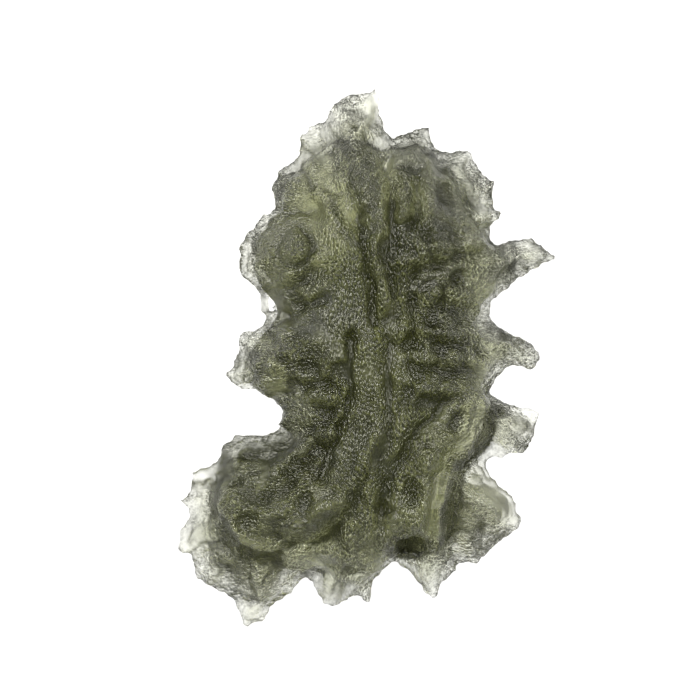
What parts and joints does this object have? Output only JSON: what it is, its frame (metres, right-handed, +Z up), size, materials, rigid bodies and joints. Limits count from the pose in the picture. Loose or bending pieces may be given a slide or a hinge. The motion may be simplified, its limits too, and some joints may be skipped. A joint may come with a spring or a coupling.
{
  "type": "moldavite",
  "caption": "Spiny natural glass stone with a thick dark core, clear scalloped spines and etched flow grooves, lying on its back.",
  "frame": {"origin": "middle of the stone's bounding rectangle, at the level of the flat spots it lies on", "axes": "+Y along the stone towards its narrow end, +X towards its long side spine, +Z up through its thickness"},
  "size_m": [0.0254, 0.036, 0.0095],
  "materials": {
    "green_glass": "etched satin natural glass, olive green where it is thick and nearly clear at its thin edges"
  },
  "bodies": {
    "root": {"moldavite": "green_glass"}
  },
  "joints": []
}
